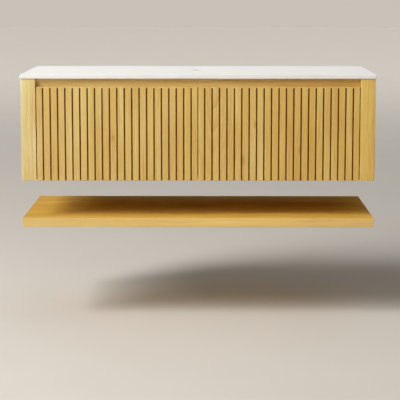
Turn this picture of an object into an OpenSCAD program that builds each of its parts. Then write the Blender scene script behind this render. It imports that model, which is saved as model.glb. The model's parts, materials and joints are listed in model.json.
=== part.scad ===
// Wall-hung vanity unit with two ribbed oak drawers, a thin white worktop and a matching
// floating shelf below it.
// Millimetres, +Z up, +X to the right seen from the front, and the wall is the plane Y = 0,
// so every piece lies at Y <= 0. The origin is the middle of the hanging rail's wall face,
// on the line of its fixing slots.

/* [Cabinet] */
// Width over the two side panels
cab_w = 1200; // [900:10:1600]
// Depth from the wall to the front edges of the side panels
cab_d = 460; // [440:5:560]
// Height of the side panels
cab_h = 348; // [320:1:450]
// Thickness of the side panels
side_t = 50; // [30:1:70]
// Thickness of the bottom, the partition, the stretchers and the back rail
board_t = 18; // [16:1:22]
// Cut corner along the edges of the boards
arris = 1; // [0.4:0.1:2]
// Height of the oak band that shows between the worktop and the drawer fronts
band_show = 28.5; // [24:0.5:45]
// How far the band lies behind the front edges of the side panels
band_back = 12; // [10:0.5:15]
// Distance of a dowel from the edge of its board
dowel_edge = 20; // [14:1:28]
// Width of the two stretchers under the worktop
stretcher_w = 90; // [60:5:120]
// Height of the rail across the back at the bottom
back_rail_h = 80; // [50:5:120]
// Space between the wall and the boards at the back of the cabinet
rear_space = 20; // [14:1:30]

/* [Worktop] */
// Thickness of the worktop
top_t = 14; // [10:1:30]
// Overhang of the worktop past each side panel
top_side_over = 2.5; // [0:0.5:15]
// Overhang of the worktop past the front
top_front_over = 3; // [0:0.5:20]
// Cut corner along the edges of the worktop
top_arris = 1.2; // [0.5:0.1:3]
// Diameter of the hole for the basin's waste
waste_d = 45; // [35:1:60]
// Distance of the waste hole from the wall
waste_y = 230; // [180:5:260]

/* [Drawer fronts] */
// Thickness of a drawer front
front_t = 20; // [18:1:26]
// Gap beside and between the drawer fronts
front_gap = 3; // [2:0.5:5]
// Width of a milled groove
groove_w = 5; // [3:0.5:8]
// Depth of a milled groove
groove_d = 7; // [3:0.5:9]
// Width of the eased edges along a groove
groove_ease = 0.8; // [0.3:0.1:1.2]
// Pitch that the grooves keep to as nearly as they can
groove_pitch = 25; // [16:1:50]
// Flat land between a front's edge and its first groove
edge_land = 19; // [12:0.5:30]
// Height of the thin lip along a front's top edge, under which the grooves stop
lip_h = 3; // [2:0.5:6]
// Thickness of that lip
lip_t = 9; // [4:0.5:9.5]
// How far the lip covers the lower edge of the band
lip_lap = 2; // [1:0.5:2]
// Height of the finger bevel at the back of a front's lower edge
grip_h = 14; // [8:1:25]
// Depth of the finger bevel
grip_d = 9; // [5:0.5:10]
// Finger space between a drawer front and the bottom panel
grip_space = 28; // [22:1:40]
// Distance of a buffer from the top and the bottom of its front
buffer_end = 60; // [30:5:100]
// Thickness of the soft buffers behind the drawer fronts
buffer_t = 2; // [1:0.5:3]
// Diameter of the buffers
buffer_d = 6; // [4:0.5:6]

/* [Drawer boxes] */
// Height of a drawer box's sides
box_h = 150; // [100:5:160]
// Space for pipes between a drawer box and the wall
pipe_space = 60; // [50:5:120]
// Thickness of a drawer box's walls
box_t = 16; // [14:1:18]
// Space between a drawer box and the cabinet on each side
box_gap = 5; // [4.5:0.5:7]
// Thickness of a drawer's bottom
base_t = 8; // [6:1:12]
// Height of a drawer's bottom above the lower edge of its sides
base_rise = 13; // [11:1:16]
// Depth of the groove that holds a drawer's bottom
base_groove = 6; // [4:0.5:8]
// Clearance around a drawer's bottom in its groove
base_fit = 0.2; // [0.1:0.05:0.4]
// Distance of the front's screws from the sides of the box
front_screw_end = 70; // [40:5:120]
// Distance of the front's screws from the box front's top and the drawer's bottom
front_screw_edge = 25; // [18:1:40]
// Height of the partition over the drawer boxes, where it is cut away for the trap
partition_over = 10; // [5:1:20]
// Distance from the front stretcher to the cut in the partition
cut_gap = 12; // [8:1:30]
// Radius in the corner of that cut
cut_r = 40; // [20:1:60]

/* [Runners] */
// Thickness of the runners' steel
steel_t = 1.5; // [1:0.1:2]
// Height of a runner from the cabinet member's floor to the drawer member's top
runner_h = 27; // [24:1:32]
// Space between a runner and the bottom panel
runner_lift = 3; // [1:0.5:8]
// Width of a runner's channel
channel_w = 22; // [18:1:26]
// Space between a drawer's side and a runner's channel
channel_gap = 3; // [1:0.5:5]
// Height of the screwed flange of the cabinet member
flange_h = 33; // [30:1:40]
// Width of the inturned lips that keep a runner together
runner_lip = 2.5; // [1.5:0.5:3]
// Running gap between a runner's members
slide_gap = 0.5; // [0.3:0.1:0.8]
// Steel thickness of the middle member
middle_t = 1.2; // [0.8:0.1:1.5]
// Distance from the rear end of a middle member to the rear of its drawer
middle_end = 4; // [2:1:20]
// Distance of a runner's end screws from its ends
runner_screw_end = 36; // [20:1:60]
// Distance of a runner's screws below the top of its flange
runner_screw_drop = 8; // [6:1:12]
// Diameter of the peg at a runner's rear end
peg_d = 6; // [4:0.5:8]
// Length of that peg
peg_l = 8; // [6:0.5:10]
// Height of the peg's middle above the drawer's bottom
peg_rise = 9; // [7:0.5:12]
// Thickness of the turned-up end that holds the peg
peg_tab_t = 2; // [1.5:0.5:3]
// How much narrower that end is than the channel, on each side
peg_tab_inset = 3; // [1:0.5:6]

/* [Locking clips] */
// Width of a clip
clip_w = 20; // [19:1:26]
// Length of a clip
clip_l = 44; // [30:1:60]
// Thickness of a clip
clip_t = 10; // [6:1:12]
// Width of a clip's release tab
clip_tab_w = 8; // [5:1:9]
// Length of that tab
clip_tab_l = 22; // [12:1:30]
// Width of a clip's cut corner
clip_cut_w = 5; // [2:1:5]
// Length of that corner
clip_cut_l = 8; // [2:1:12]

/* [Hanging rail] */
// Thickness of the hanging rail's steel
rail_t = 2; // [1.5:0.5:3]
// Gap between an end of the hanging rail and the side panel
rail_end_gap = 6; // [2:1:20]
// Distance of the rail's lower edge below the line of its slots
rail_foot = 20; // [14:1:30]
// Height of the rail's ledge above the line of its slots
ledge_z = 24; // [18:1:26]
// Depth of the ledge, out to the front of the upstand
ledge_d = 8; // [7.5:0.5:12]
// Height of the upstand that carries the hooks
upstand_h = 10; // [8:1:12]
// Width of a fixing slot
slot_w = 6.5; // [5:0.5:9]
// Length of a fixing slot, end to end
slot_l = 22; // [16:1:30]
// Distance of an outer slot from the end of the rail
slot_end = 64; // [30:1:90]

/* [Hangers] */
// Width of a hanger's housing
hanger_w = 22; // [18:1:30]
// Depth of a hanger's housing
hanger_d = 70; // [60:1:90]
// Height of a hanger's housing
hanger_h = 72; // [66:1:84]
// Gap between a hanger's housing and the stretcher above it
hanger_gap = 2; // [1:0.5:6]
// Wall of the housing above the hook's channel
hanger_wall = 8; // [5:1:10]
// Cut corners of a hanger's housing
hanger_cut = 6; // [2:1:8]
// Room above and below a hook's arm in its channel
hook_room = 4; // [3:0.5:5]
// Room behind a hook's arm in its channel
hook_rear_room = 8; // [4:1:12]
// Side clearance of a hook in its channel
hook_fit = 0.3; // [0.1:0.1:0.6]
// Distance of a housing's fixing screws from its edges
hanger_screw_edge = 12; // [8:1:14]
// Thickness of a hook
hook_t = 5; // [3:0.5:8]
// Height of a hook's arm
hook_h = 14; // [10:1:14]
// Length of the arm inside its housing
hook_seat = 42; // [36:1:46]
// Thickness of the hook's downturned end
hook_lip = 3; // [2:0.5:3.5]
// Clearance of that end behind the upstand
hook_clear = 0.5; // [0.2:0.1:1]
// Height of that end above the rail's ledge
hook_end_gap = 1.5; // [0.5:0.5:4]
// Diameter of the adjusting screws
adjuster_d = 6; // [4:0.5:8]
// Diameter of their heads
adjuster_head_d = 10; // [9:0.5:14]
// Height of their heads
adjuster_head_t = 3; // [2.5:0.5:5]
// Width of the slot for the screwdriver
driver_slot_w = 1.2; // [0.8:0.1:2]
// Depth of that slot
driver_slot_depth = 1.5; // [1:0.1:2]

/* [Shelf] */
// Thickness of the shelf
shelf_t = 32; // [26:1:50]
// Clear height between the cabinet and the shelf
shelf_drop = 128.5; // [80:0.5:250]
// Distance from an end of the shelf to the bar that carries it
bar_end = 100; // [60:10:200]
// Height of the bar
bar_h = 22; // [18:1:24]
// Thickness of the bar
bar_t = 5; // [4:1:8]
// Clearance around the bar in the shelf
bar_fit = 0.5; // [0.2:0.1:0.8]
// Diameter of the rods that the shelf slides on
rod_d = 12; // [8:1:14]
// Length of the rods
rod_l = 160; // [100:5:250]
// Cut edge at the end of a rod
rod_cut = 2; // [1:0.5:3]
// Distance of an outer rod from the end of the bar
rod_end = 50; // [20:5:80]
// Diameter of the screw holes in the bar
bar_hole_d = 6.5; // [5:0.5:8]
// Distance of a screw hole from the rod beside it
bar_hole_step = 70; // [30:5:90]
// Diameter of the pockets that clear the wall screws' heads
pocket_d = 16; // [12:1:20]
// Depth of those pockets
pocket_depth = 16; // [10:1:30]
// Diameter of the two locking screws under the shelf
lock_d = 6; // [4:0.5:8]
// Distance of the locking screws from the wall
lock_y = 60; // [30:5:90]
// How far the locking screws are sunk into the shelf
lock_sunk = 1; // [0.5:0.5:4]

/* [Fasteners] */
// Diameter of the dowels
dowel_d = 8; // [6:1:8]
// Length of a dowel in the panel that it starts from
dowel_in = 10; // [8:1:12]
// Length of a dowel in the board that it joins
dowel_out = 20; // [14:1:24]
// Diameter of the screws' shanks
screw_d = 4; // [3:0.5:5]
// Wood left in the partition between the points of screws from both sides
screw_web = 1; // [0.6:0.2:3]
// Diameter of the screws' heads
head_d = 8; // [6:0.5:10]
// Diameter of the flat on a head
head_flat_d = 5.6; // [4:0.2:6]
// Height of the screws' heads
head_t = 2.5; // [1.5:0.1:2.8]
// Length of a front fixing screw in the drawer front
front_bite = 10; // [6:0.5:10]
// Length of a hanger screw in the side panel
hanger_bite = 20; // [12:1:25]
// Radial clearance of screws, dowels and rods in their holes
bore_fit = 0.05; // [0.02:0.01:0.1]
// Room left past the end of a dowel or a peg in its hole
tip_gap = 0.5; // [0.2:0.1:1]

/* [Hidden] */

$fn = 48;
oak = "#d8b26a";
ply = "#e3cfa4";
white = "#f2efec";
steel = "#b9bcc0";
zinc = "#8f9398";
grey_plastic = "#6f7276";
beech = "#dcbf8f";
over = 1;

// Heights
hook_z = ledge_z + upstand_h;
housing_top_z = hook_z + hook_h + hook_room + hanger_wall;
top_z = housing_top_z + hanger_gap + board_t;
base_z = top_z - cab_h;
floor_z = base_z + board_t;
front_top_z = top_z - band_show;
runner_z = floor_z + runner_lift;
base_under_z = runner_z + runner_h;
box_z = base_under_z - base_rise;
box_top_z = box_z + box_h;
partition_low_z = box_top_z + partition_over;
stretcher_z = top_z - board_t;
shelf_z = base_z - shelf_drop - shelf_t;
shelf_mid_z = shelf_z + shelf_t / 2;

// Depths
face_y = -cab_d;
front_back_y = face_y + front_t;
inner_y = front_back_y + buffer_t;
band_y = face_y + band_back;
bottom_y = front_back_y + grip_space;
box_rear_y = -pipe_space;
box_front_back_y = front_back_y + box_t;
back_y = -rear_space - board_t;
middle_y = box_front_back_y + slide_gap;

// Widths
open_x = cab_w / 2 - side_t;
bay_x = board_t / 2;
bay_w = open_x - bay_x;
front_w = open_x - 1.5 * front_gap;
front_x = front_gap / 2;
box_x = bay_x + box_gap;
box_w = bay_w - 2 * box_gap;
channel_x = box_gap + box_t + channel_gap;
clip_x = channel_x + channel_w;
channel_h = (runner_h - 2 * slide_gap) / 2;

// Grooves of one drawer front
groove_span = front_w - 2 * edge_land - groove_w;
groove_steps = round(groove_span / groove_pitch);
groove_step = groove_span / groove_steps;

// Dowels of one side panel: where each starts, as depth and height
side_dowels = [
    [bottom_y + dowel_edge, base_z + board_t / 2], [-rear_space - dowel_edge, base_z + board_t / 2],
    [inner_y + dowel_edge, top_z - board_t / 2], [inner_y + stretcher_w - dowel_edge, top_z - board_t / 2],
    [dowel_edge - rear_space - stretcher_w, top_z - board_t / 2],
    [-rear_space - dowel_edge, top_z - board_t / 2],
    [back_y + board_t / 2, floor_z + dowel_edge], [back_y + board_t / 2, floor_z + back_rail_h - dowel_edge]
];
partition_dowels = [bottom_y + dowel_edge, (bottom_y + back_y) / 2, back_y - dowel_edge];
partition_top_dowels = [inner_y + dowel_edge, inner_y + stretcher_w - dowel_edge];
runner_screws_y = [inner_y + runner_screw_end, (inner_y + box_rear_y) / 2, box_rear_y - runner_screw_end];
runner_screw_z = runner_z + flange_h - runner_screw_drop;
runner_screw_l = steel_t + bay_x - screw_web / 2;
box_dowels_y = [front_back_y + box_t / 2, box_rear_y - box_t / 2];
box_dowels_z = [base_under_z + base_t + dowel_edge, box_top_z - dowel_edge];
front_screws_x = [box_x + front_screw_end, box_x + box_w - front_screw_end];
front_screws_z = [base_under_z + base_t + front_screw_edge, box_top_z - front_screw_edge];
peg_z = base_under_z + base_t + peg_rise;
buffer_x = (front_x + bay_x) / 2;

// Hanging rail and hangers
rail_x = open_x - rail_end_gap;
slot_x = rail_x - slot_end;
slots_x = [-slot_x, -slot_x / 3, slot_x / 3, slot_x];
hook_end_y = -rear_space - hook_seat;
housing_z = housing_top_z - hanger_h;
housing_y = -rear_space - hanger_d;
hook_mid_x = open_x - hanger_w / 2;
hanger_screws_y = [-rear_space - hanger_screw_edge, housing_y + hanger_screw_edge];
hanger_screw_z = housing_z + hanger_screw_edge;
lift_screw_y = -rear_space - hook_seat / 2;

// Shelf bar
bar_x = cab_w / 2 - bar_end;
bar_z = shelf_mid_z - bar_h / 2;
rod_x = bar_x - rod_end;
rods_x = [-rod_x, -rod_x / 3, rod_x / 3, rod_x];
bar_holes_x = [for (x = rods_x) x - sign(x) * bar_hole_step];

// Outline of a board's section, w wide and h high, with its corners cut by a
module cut_corners(w, h, a) {
    polygon([[a, 0], [w - a, 0], [w, a], [w, h - a], [w - a, h], [a, h], [0, h - a], [0, a]]);
}

// Board from its lowest corner to its highest, with every edge cut by a
module board(low, high, a = arris) {
    size = high - low;
    translate(low) intersection() {
        linear_extrude(size.z) cut_corners(size.x, size.y, a);
        translate([0, size.y, 0]) rotate([90, 0, 0])
            linear_extrude(size.y) cut_corners(size.x, size.z, a);
        rotate([90, 0, 90]) linear_extrude(size.x) cut_corners(size.y, size.z, a);
    }
}

// Block from its lowest corner to its highest
module block(low, high) {
    translate(low) cube(high - low);
}

// Section in X and Z, drawn out along Y from low_y to high_y
module along_y(low_y, high_y) {
    translate([0, high_y, 0]) rotate([90, 0, 0]) linear_extrude(high_y - low_y) children();
}

// Section in Y and Z, drawn out along X from low_x to high_x
module along_x(low_x, high_x) {
    translate([low_x, 0, 0]) rotate([90, 0, 90]) linear_extrude(high_x - low_x) children();
}

// What is drawn for the right half, on the side asked for
module on_side(side) {
    if (side < 0) mirror([1, 0, 0]) children();
    else children();
}

// Right bay seen from its inner wall, the partition, or its outer wall, the side panel
module from_wall(outer) {
    if (outer) translate([open_x, 0, 0]) mirror([1, 0, 0]) children();
    else translate([bay_x, 0, 0]) children();
}

// Screw along +Z, with its head below Z = 0
module screw(length) {
    translate([0, 0, -head_t]) cylinder(h = head_t, d1 = head_flat_d, d2 = head_d);
    cylinder(h = length, d = screw_d);
}

// Hole along +Z for a screw, a dowel or a rod
module bore(diameter, length) {
    translate([0, 0, -over]) cylinder(h = length + over, d = diameter + 2 * bore_fit);
}

// Carcass

module side_panel(side) {
    color(oak) on_side(side) difference() {
        board([open_x, face_y, base_z], [cab_w / 2, 0, top_z]);
        for (p = side_dowels)
            translate([open_x, p[0], p[1]]) rotate([0, 90, 0]) bore(dowel_d, dowel_in + tip_gap);
        for (y = runner_screws_y)
            translate([open_x, y, runner_screw_z]) rotate([0, 90, 0]) bore(screw_d, runner_screw_l - steel_t);
        for (y = hanger_screws_y)
            translate([open_x, y, hanger_screw_z]) rotate([0, 90, 0]) bore(screw_d, hanger_bite);
    }
}

// Dowel holes in both ends of a board that runs between the side panels
module end_bores(first, last) {
    for (side = [-1, 1], i = [first : last])
        on_side(side) translate([open_x, side_dowels[i][0], side_dowels[i][1]])
            rotate([0, -90, 0]) bore(dowel_d, dowel_out + tip_gap);
}

module bottom_panel() {
    color(oak) difference() {
        board([-open_x, bottom_y, base_z], [open_x, -rear_space, floor_z]);
        end_bores(0, 1);
        for (y = partition_dowels)
            translate([0, y, floor_z]) rotate([180, 0, 0]) bore(dowel_d, dowel_in + tip_gap);
    }
}

// The upper rear is cut away for the trap of the basin
module centre_partition() {
    cut_x = bay_x + over;
    cut_y = inner_y + stretcher_w + cut_gap;
    cut_top = [cut_x, back_y + over, stretcher_z + over];
    color(oak) difference() {
        board([-bay_x, inner_y, floor_z], [bay_x, back_y, stretcher_z]);
        block([-cut_x, cut_y + cut_r, partition_low_z], cut_top);
        block([-cut_x, cut_y, partition_low_z + cut_r], cut_top);
        translate([-cut_x, cut_y + cut_r, partition_low_z + cut_r])
            rotate([0, 90, 0]) cylinder(h = 2 * cut_x, r = cut_r);
        for (y = partition_dowels) translate([0, y, floor_z]) bore(dowel_d, dowel_out + tip_gap);
        for (y = partition_top_dowels)
            translate([0, y, stretcher_z]) rotate([180, 0, 0]) bore(dowel_d, dowel_out + tip_gap);
        for (side = [-1, 1], y = runner_screws_y)
            on_side(side) translate([bay_x, y, runner_screw_z])
                rotate([0, -90, 0]) bore(screw_d, runner_screw_l - steel_t);
    }
}

module front_band() {
    color(oak) board([-open_x, band_y, front_top_z - lip_lap], [open_x, inner_y, top_z]);
}

module front_stretcher() {
    color(ply) difference() {
        board([-open_x, inner_y, stretcher_z], [open_x, inner_y + stretcher_w, top_z]);
        end_bores(2, 3);
        for (y = partition_top_dowels) translate([0, y, stretcher_z]) bore(dowel_d, dowel_in + tip_gap);
    }
}

module rear_stretcher() {
    color(ply) difference() {
        board([-open_x, -rear_space - stretcher_w, stretcher_z], [open_x, -rear_space, top_z]);
        end_bores(4, 5);
    }
}

module back_rail() {
    color(ply) difference() {
        board([-open_x, back_y, floor_z], [open_x, -rear_space, floor_z + back_rail_h]);
        end_bores(6, 7);
    }
}

module worktop() {
    color(white) difference() {
        board([-cab_w / 2 - top_side_over, face_y - top_front_over, top_z],
              [cab_w / 2 + top_side_over, 0, top_z + top_t], top_arris);
        translate([0, -waste_y, top_z - over]) cylinder(h = top_t + 2 * over, d = waste_d);
    }
}

module front_buffers() {
    color(grey_plastic) for (side = [-1, 1], z = [base_z + buffer_end, front_top_z - buffer_end])
        translate([side * buffer_x, inner_y, z]) rotate([90, 0, 0]) cylinder(h = buffer_t, d = buffer_d);
}

module dowel() {
    translate([0, 0, -dowel_in]) cylinder(h = dowel_in + dowel_out, d = dowel_d);
}

module carcass_dowels() {
    color(beech) {
        for (side = [-1, 1], p = side_dowels)
            on_side(side) translate([open_x, p[0], p[1]]) rotate([0, -90, 0]) dowel();
        for (y = partition_dowels) translate([0, y, floor_z]) dowel();
        for (y = partition_top_dowels) translate([0, y, stretcher_z]) rotate([180, 0, 0]) dowel();
    }
}

// Hanging rail and hangers

module hanging_rail() {
    color(steel) difference() {
        along_x(-rail_x, rail_x) {
            translate([-rail_t, -rail_foot]) square([rail_t, rail_foot + ledge_z]);
            translate([-ledge_d, ledge_z - rail_t]) square([ledge_d, rail_t]);
            translate([-ledge_d, ledge_z - rail_t]) square([rail_t, upstand_h + rail_t]);
        }
        for (x = slots_x) translate([x, over, 0]) rotate([90, 0, 0]) slot(rail_t + 2 * over);
    }
}

// Slot along X with round ends
module slot(depth) {
    run = (slot_l - slot_w) / 2;
    for (x = [-run, run]) translate([x, 0, 0]) cylinder(h = depth, d = slot_w);
    translate([-run, -slot_w / 2, 0]) cube([2 * run, slot_w, depth]);
}

module hanger_housing(side) {
    channel_half = hook_t / 2 + hook_fit;
    color(zinc) on_side(side) difference() {
        along_x(open_x - hanger_w, open_x)
            translate([housing_y, housing_z]) cut_corners(hanger_d, hanger_h, hanger_cut);
        block([hook_mid_x - channel_half, hook_end_y - hook_rear_room, hook_z - hook_room],
              [hook_mid_x + channel_half, over, hook_z + hook_h + hook_room]);
        translate([hook_mid_x, housing_y, hook_z + hook_h / 2])
            rotate([-90, 0, 0]) bore(adjuster_d, hook_end_y - housing_y);
        translate([hook_mid_x, lift_screw_y, housing_z]) bore(adjuster_d, hook_z - housing_z);
        for (y = hanger_screws_y)
            translate([open_x - hanger_w, y, hanger_screw_z])
                rotate([0, 90, 0]) bore(screw_d, hanger_w + over);
    }
}

// The arm rests on the rail's upstand, and its downturned end drops in behind it
module hanger_hook(side) {
    lip_y = rail_t - ledge_d + hook_clear;
    lip_z = ledge_z + hook_end_gap;
    top = hook_z + hook_h;
    color(steel) on_side(side) along_x(hook_mid_x - hook_t / 2, hook_mid_x + hook_t / 2) polygon([
        [hook_end_y, hook_z], [lip_y, hook_z], [lip_y, lip_z], [lip_y + hook_lip, lip_z],
        [lip_y + hook_lip, top - hook_lip], [lip_y, top], [hook_end_y, top]
    ]);
}

module hanger_adjusting_screws() {
    color(steel) for (side = [-1, 1]) on_side(side) {
        translate([hook_mid_x, housing_y, hook_z + hook_h / 2]) rotate([-90, 0, 0])
            adjuster(hook_end_y - housing_y);
        translate([hook_mid_x, lift_screw_y, housing_z]) adjuster(hook_z - housing_z);
    }
}

// Adjusting screw along +Z, with a slotted head below Z = 0
module adjuster(length) {
    cylinder(h = length, d = adjuster_d);
    difference() {
        translate([0, 0, -adjuster_head_t]) cylinder(h = adjuster_head_t, d = adjuster_head_d);
        translate([-adjuster_head_d, -driver_slot_w / 2, -adjuster_head_t - over])
            cube([2 * adjuster_head_d, driver_slot_w, over + driver_slot_depth]);
    }
}

module hanger_fixing_screws() {
    color(steel) for (side = [-1, 1], y = hanger_screws_y)
        on_side(side) translate([open_x - hanger_w, y, hanger_screw_z])
            rotate([0, 90, 0]) screw(hanger_w + hanger_bite);
}

// Runners, drawn in X and Z from the cabinet wall and the runner's lowest line

module channel_section() {
    square([channel_w, steel_t]);
    for (x = [0, channel_w - steel_t]) translate([x, 0]) square([steel_t, channel_h]);
    for (x = [0, channel_w - steel_t - runner_lip])
        translate([x, channel_h - steel_t]) square([steel_t + runner_lip, steel_t]);
}

module runner_cabinet_member(side, outer) {
    color(steel) on_side(side) from_wall(outer) difference() {
        translate([0, 0, runner_z]) along_y(inner_y, box_rear_y) {
            square([steel_t, flange_h]);
            square([channel_x + over, steel_t]);
            translate([channel_x, 0]) channel_section();
        }
        for (y = runner_screws_y)
            translate([steel_t, y, runner_screw_z]) rotate([0, -90, 0]) bore(screw_d, steel_t + over);
    }
}

// Waisted box profile, inset by wall
module waisted(wall) {
    low = steel_t + slide_gap + wall;
    high = runner_h - low;
    shoulder = channel_h - steel_t - slide_gap - wall;
    wide = channel_w / 2 - steel_t - slide_gap - wall;
    neck = channel_w / 2 - steel_t - runner_lip - 2 * slide_gap - wall;
    translate([channel_w / 2, 0]) {
        translate([-wide, low]) square([2 * wide, shoulder - low]);
        translate([-neck, low]) square([2 * neck, high - low]);
        translate([-wide, runner_h - shoulder]) square([2 * wide, shoulder - low]);
    }
}

module runner_middle_member(side, outer) {
    color(steel) on_side(side) from_wall(outer)
        translate([channel_x, 0, runner_z]) along_y(middle_y, box_rear_y - middle_end) difference() {
            waisted(0);
            waisted(middle_t);
        }
}

// Rides on top, and its turned-up rear end pegs into the drawer's back
module runner_drawer_member(side, outer) {
    color(steel) on_side(side) from_wall(outer) {
        translate([channel_x, 0, runner_z + runner_h]) mirror([0, 0, 1])
            along_y(box_front_back_y, box_rear_y + peg_tab_t) channel_section();
        block([channel_x + peg_tab_inset, box_rear_y, base_under_z - steel_t],
              [channel_x + channel_w - peg_tab_inset, box_rear_y + peg_tab_t, peg_z + peg_d]);
        translate([channel_x + channel_w / 2, box_rear_y + over, peg_z])
            rotate([90, 0, 0]) cylinder(h = peg_l + over, d = peg_d);
    }
}

module runner_screws() {
    color(steel) for (side = [-1, 1], outer = [false, true], y = runner_screws_y)
        on_side(side) from_wall(outer) translate([steel_t, y, runner_screw_z])
            rotate([0, -90, 0]) screw(runner_screw_l);
}

// Drawers, drawn for the right one

// Ribbed front: stopped grooves, a thin lip over the band and a finger bevel behind its lower edge
module drawer_front(side) {
    end_x = front_x + front_w;
    color(oak) on_side(side) difference() {
        board([front_x, face_y, base_z], [end_x, front_back_y, front_top_z]);
        for (i = [0 : groove_steps])
            translate([front_x + edge_land + groove_w / 2 + i * groove_step, face_y, 0]) milled_groove();
        block([front_x - over, face_y + lip_t, front_top_z - lip_h],
              [end_x + over, front_back_y + over, front_top_z + over]);
        along_x(front_x - over, end_x + over) translate([front_back_y, base_z])
            polygon([[-grip_d, 0], [-grip_d, -over], [over, -over], [over, grip_h], [0, grip_h]]);
        for (x = front_screws_x, z = front_screws_z)
            translate([x, front_back_y, z]) rotate([90, 0, 0]) bore(screw_d, front_bite);
    }
}

// Groove as a round cutter leaves it, from below the front's edge up to its stop, with eased edges
module milled_groove() {
    half = groove_w / 2;
    mouth = half + groove_ease + over;
    stop_z = front_top_z - lip_h - half;
    translate([0, 0, base_z - over]) linear_extrude(stop_z - base_z + over) polygon([
        [-mouth, -over], [mouth, -over], [half, groove_ease], [half, groove_d],
        [-half, groove_d], [-half, groove_ease]
    ]);
    translate([0, -over, stop_z]) rotate([-90, 0, 0]) {
        cylinder(h = groove_d + over, r = half);
        cylinder(h = groove_ease + over, r1 = mouth, r2 = half);
    }
}

// Slit in a drawer box's walls for its bottom
module base_slit() {
    block([box_x + box_t - base_groove, front_back_y + box_t - base_groove, base_under_z],
          [box_x + box_w - box_t + base_groove, box_rear_y + over, base_under_z + base_t + base_fit]);
}

module box_dowel_bores(length) {
    for (y = box_dowels_y, z = box_dowels_z)
        translate([box_x + box_t, y, z]) rotate([0, length > 0 ? 90 : -90, 0]) bore(dowel_d, abs(length));
}

module drawer_box_front(side) {
    color(ply) on_side(side) difference() {
        board([box_x + box_t, front_back_y, box_z],
              [box_x + box_w - box_t, box_front_back_y, box_top_z]);
        base_slit();
        box_dowel_bores(dowel_out + tip_gap);
        far_end() box_dowel_bores(dowel_out + tip_gap);
        for (x = front_screws_x, z = front_screws_z)
            translate([x, box_front_back_y, z]) rotate([90, 0, 0]) bore(screw_d, box_t + over);
    }
}

// Mirrors across the middle of the drawer box
module far_end() {
    translate([2 * box_x + box_w, 0, 0]) mirror([1, 0, 0]) children();
}

module drawer_side(side, outer) {
    color(ply) on_side(side) difference() {
        if (outer) far_end() drawer_wall();
        else drawer_wall();
        base_slit();
        if (outer) far_end() box_dowel_bores(-dowel_in - tip_gap);
        else box_dowel_bores(-dowel_in - tip_gap);
    }
}

module drawer_wall() {
    board([box_x, front_back_y, box_z], [box_x + box_t, box_rear_y, box_top_z]);
}

// Stands on the drawer's bottom, so that the runners pass below it
module drawer_back(side) {
    color(ply) on_side(side) difference() {
        board([box_x + box_t, box_rear_y - box_t, base_under_z + base_t],
              [box_x + box_w - box_t, box_rear_y, box_top_z]);
        box_dowel_bores(dowel_out + tip_gap);
        far_end() box_dowel_bores(dowel_out + tip_gap);
        for (outer = [false, true]) from_wall(outer)
            translate([channel_x + channel_w / 2, box_rear_y, peg_z])
                rotate([90, 0, 0]) bore(peg_d, peg_l + tip_gap);
    }
}

module drawer_bottom(side) {
    inset = box_t - base_groove + base_fit;
    color(ply) on_side(side)
        block([box_x + inset, front_back_y + inset, base_under_z],
              [box_x + box_w - inset, box_rear_y, base_under_z + base_t]);
}

module drawer_dowels(side) {
    color(beech) on_side(side) for (y = box_dowels_y, z = box_dowels_z) {
        translate([box_x + box_t, y, z]) rotate([0, 90, 0]) dowel();
        far_end() translate([box_x + box_t, y, z]) rotate([0, 90, 0]) dowel();
    }
}

module drawer_front_screws(side) {
    color(steel) on_side(side) for (x = front_screws_x, z = front_screws_z)
        translate([x, box_front_back_y, z]) rotate([90, 0, 0]) screw(box_t + front_bite);
}

// Clip under each front corner, with its release tab behind it
module drawer_locking_clips(side) {
    tab_low_x = (clip_w - clip_tab_w) / 2;
    tab_high_x = (clip_w + clip_tab_w) / 2;
    color(grey_plastic) on_side(side) for (outer = [false, true]) from_wall(outer)
        translate([clip_x, box_front_back_y, base_under_z - clip_t]) linear_extrude(clip_t) polygon([
            [0, 0], [clip_w, 0], [clip_w, clip_l - clip_cut_l], [clip_w - clip_cut_w, clip_l],
            [tab_high_x, clip_l], [tab_high_x, clip_l + clip_tab_l], [tab_low_x, clip_l + clip_tab_l],
            [tab_low_x, clip_l], [0, clip_l]
        ]);
}

// Shelf

module shelf_board() {
    color(oak) difference() {
        board([-cab_w / 2, face_y, shelf_z], [cab_w / 2, 0, shelf_z + shelf_t]);
        block([-bar_x - bar_fit, -bar_t - bar_fit, bar_z - bar_fit],
              [bar_x + bar_fit, over, bar_z + bar_h + bar_fit]);
        for (x = rods_x) translate([x, -bar_t, shelf_mid_z]) rotate([90, 0, 0]) bore(rod_d, rod_l + rod_cut);
        for (x = bar_holes_x)
            translate([x, -bar_t, shelf_mid_z]) rotate([90, 0, 0]) cylinder(h = pocket_depth, d = pocket_d);
        for (x = [rods_x[0], rods_x[3]]) translate([x, -lock_y, shelf_z]) bore(lock_d, shelf_t / 2);
    }
}

module shelf_bar() {
    color(steel) difference() {
        block([-bar_x, -bar_t, bar_z], [bar_x, 0, bar_z + bar_h]);
        for (x = bar_holes_x)
            translate([x, over, shelf_mid_z])
                rotate([90, 0, 0]) cylinder(h = bar_t + 2 * over, d = bar_hole_d);
    }
}

module shelf_rods() {
    color(steel) for (x = rods_x)
        translate([x, -bar_t, shelf_mid_z]) rotate([90, 0, 0]) {
            cylinder(h = rod_l - rod_cut, d = rod_d);
            translate([0, 0, rod_l - rod_cut]) cylinder(h = rod_cut, d1 = rod_d, d2 = rod_d - 2 * rod_cut);
        }
}

module shelf_locking_screws() {
    color(steel) for (x = [rods_x[0], rods_x[3]])
        translate([x, -lock_y, shelf_z + lock_sunk])
            cylinder(h = (shelf_t - rod_d) / 2 - lock_sunk, d = lock_d);
}

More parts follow.
